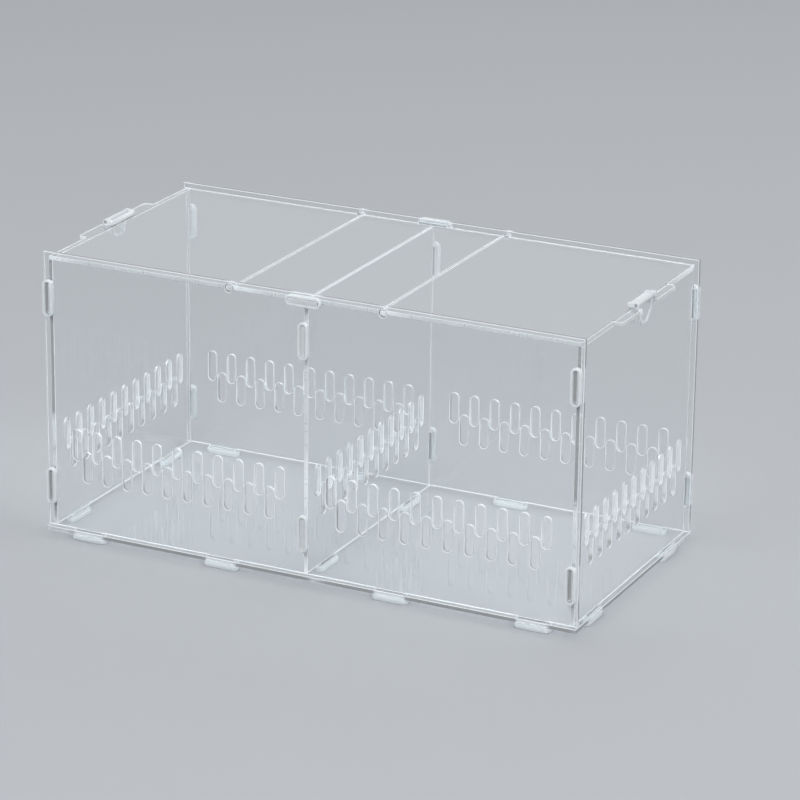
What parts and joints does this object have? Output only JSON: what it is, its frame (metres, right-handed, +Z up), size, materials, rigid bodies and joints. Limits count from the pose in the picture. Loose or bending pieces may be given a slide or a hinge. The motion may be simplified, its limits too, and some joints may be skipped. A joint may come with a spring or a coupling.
{
  "type": "spider enclosure",
  "caption": "Clear acrylic terrarium of slotted sheets locked by frosted rings, with a divider, vent slots and two roof doors that swing up behind bail latches.",
  "frame": {"origin": "centre of the footprint, on the surface that the foot rings stand on", "axes": "+X along the length, from the left chamber to the right one; +Y from the front panel to the back panel; +Z up"},
  "size_m": [0.4076, 0.203, 0.2061],
  "materials": {
    "acrylic": "clear, polished sheet with brighter cut edges",
    "frosted_plastic": "milky, satin",
    "pin_steel": "plain wire"
  },
  "bodies": {
    "root": {"bottom_plate": "acrylic", "front_panel": "acrylic", "back_panel": "acrylic", "left_side_panel": "acrylic", "right_side_panel": "acrylic", "divider_panel": "acrylic", "top_bridge": "acrylic", "front_ring_left_lower": "frosted_plastic", "front_ring_left_upper": "frosted_plastic", "front_ring_middle_lower": "frosted_plastic", "front_ring_middle_upper": "frosted_plastic", "front_ring_right_lower": "frosted_plastic", "front_ring_right_upper": "frosted_plastic", "front_ring_bridge": "frosted_plastic", "back_ring_left_lower": "frosted_plastic", "back_ring_left_upper": "frosted_plastic", "back_ring_middle_lower": "frosted_plastic", "back_ring_middle_upper": "frosted_plastic", "back_ring_right_lower": "frosted_plastic", "back_ring_right_upper": "frosted_plastic", "back_ring_bridge": "frosted_plastic", "foot_ring_front_1": "frosted_plastic", "foot_ring_front_2": "frosted_plastic", "foot_ring_front_3": "frosted_plastic", "foot_ring_front_4": "frosted_plastic", "foot_ring_back_1": "frosted_plastic", "foot_ring_back_2": "frosted_plastic", "foot_ring_back_3": "frosted_plastic", "foot_ring_back_4": "frosted_plastic", "foot_ring_left_near": "frosted_plastic", "foot_ring_left_far": "frosted_plastic", "foot_ring_middle_near": "frosted_plastic", "foot_ring_middle_far": "frosted_plastic", "foot_ring_right_near": "frosted_plastic", "foot_ring_right_far": "frosted_plastic", "left_catch_knob": "frosted_plastic", "right_catch_knob": "frosted_plastic"},
    "left_door": {"left_door": "acrylic", "left_latch_plate": "frosted_plastic", "left_latch_pin": "pin_steel"},
    "right_door": {"right_door": "acrylic", "right_latch_plate": "frosted_plastic", "right_latch_pin": "pin_steel"},
    "left_bail": {"left_latch_bail": "frosted_plastic"},
    "right_bail": {"right_latch_bail": "frosted_plastic"}
  },
  "joints": [
    {"name": "left_door_hinge", "type": "hinge", "parent": "root", "child": "left_door", "pos_m": [-0.057, 0, 0.2003], "axis": [0, 1, 0], "range_deg": [0, 100]},
    {"name": "right_door_hinge", "type": "hinge", "parent": "root", "child": "right_door", "pos_m": [0.057, 0, 0.2003], "axis": [0, -1, 0], "range_deg": [0, 100]},
    {"name": "left_bail_swing", "type": "hinge", "parent": "left_door", "child": "left_bail", "pos_m": [-0.2, 0, 0.2041], "axis": [0, 1, 0], "range_deg": [0, 120]},
    {"name": "right_bail_swing", "type": "hinge", "parent": "right_door", "child": "right_bail", "pos_m": [0.2, 0, 0.2041], "axis": [0, -1, 0], "range_deg": [0, 120]}
  ]
}
